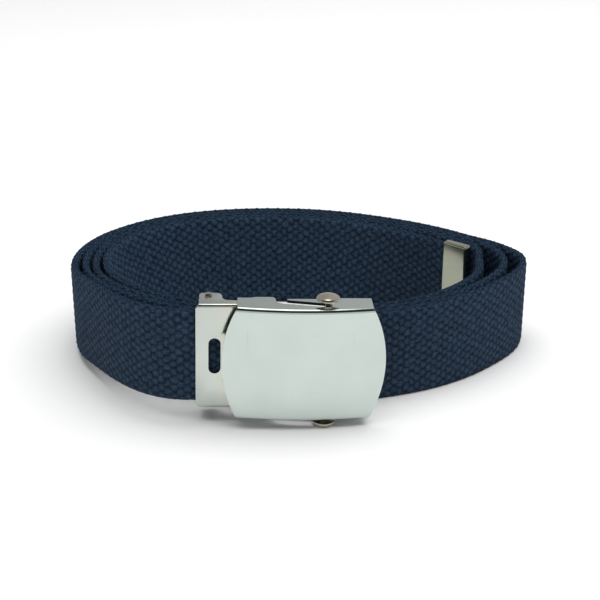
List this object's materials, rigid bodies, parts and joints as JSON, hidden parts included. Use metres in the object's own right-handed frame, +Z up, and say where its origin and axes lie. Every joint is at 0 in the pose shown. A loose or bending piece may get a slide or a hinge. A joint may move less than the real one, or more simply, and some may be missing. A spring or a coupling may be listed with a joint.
{
  "type": "web belt",
  "caption": "Woven cotton web belt coiled on its edge, with a metal roller buckle and a metal end cap.",
  "frame": {"origin": "middle of the bounding box's base, on the surface that the coil stands on", "axes": "+X along the coil's long way, from the buckle's clamp towards its roller; -Y towards the side with the buckle; +Z up, across the strap's width"},
  "size_m": [0.1532, 0.1184, 0.0424],
  "materials": {
    "strap": "navy cotton webbing",
    "buckle_face": "polished nickel plate",
    "clamp_frame": "polished nickel plate",
    "clamp_jaw": "plated steel",
    "jaw_pin": "plated steel",
    "roller": "polished nickel plate",
    "belt_tip": "polished nickel plate"
  },
  "bodies": {
    "belt": {"strap": "strap", "buckle_face": "buckle_face", "clamp_frame": "clamp_frame", "clamp_jaw": "clamp_jaw", "jaw_pin": "jaw_pin", "belt_tip": "belt_tip"},
    "roller": {"roller": "roller"}
  },
  "joints": [
    {"name": "roller_slide", "type": "slide", "parent": "belt", "child": "roller", "axis": [-0.9893, 0.1427, 0.0294], "range_m": [0, 0.0115]}
  ]
}
